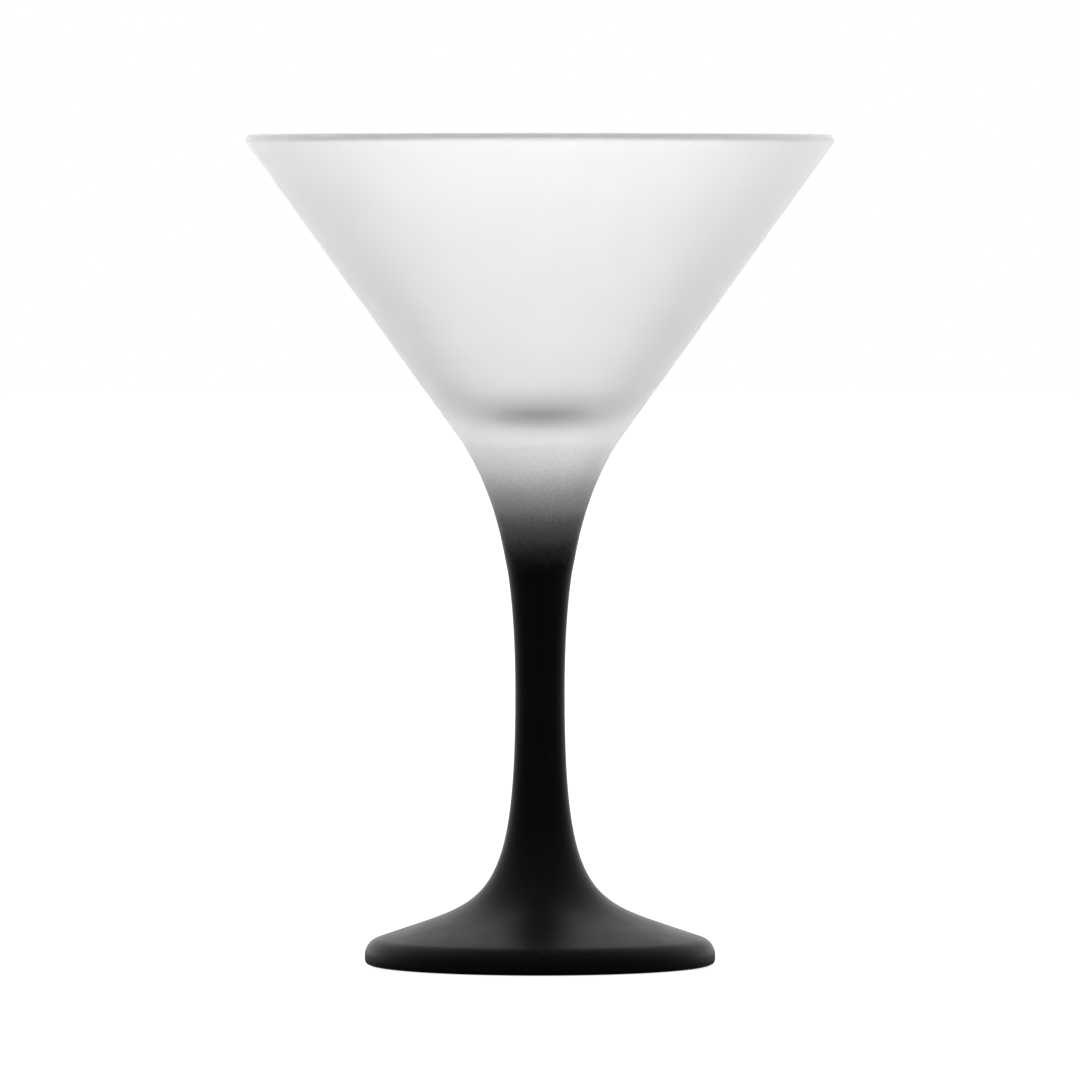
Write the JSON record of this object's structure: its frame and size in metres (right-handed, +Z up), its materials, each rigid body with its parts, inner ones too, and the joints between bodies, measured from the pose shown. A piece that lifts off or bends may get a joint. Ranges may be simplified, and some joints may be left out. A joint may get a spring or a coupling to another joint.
{
  "type": "martini glass",
  "caption": "Stemmed cocktail glass with a wide V-shaped bowl, a drawn neck, a waisted stem and a round foot, frosted white outside and fading to black at the neck.",
  "frame": {"origin": "on the axis of the glass, at the table surface that the foot stands on", "axes": "+Z up along the axis from the foot to the lip; +X and +Y are any two level directions, as the glass is round"},
  "size_m": [0.108, 0.108, 0.1524],
  "materials": {
    "clear_glass": "clear, fire polished",
    "white_frost": "translucent white satin frost lacquer",
    "black_lacquer": "satin black lacquer, fading out upwards"
  },
  "bodies": {
    "root": {"bowl": "clear_glass", "stem": "clear_glass", "foot": "clear_glass", "frost_coat": "white_frost", "black_coat": "black_lacquer"}
  },
  "joints": []
}
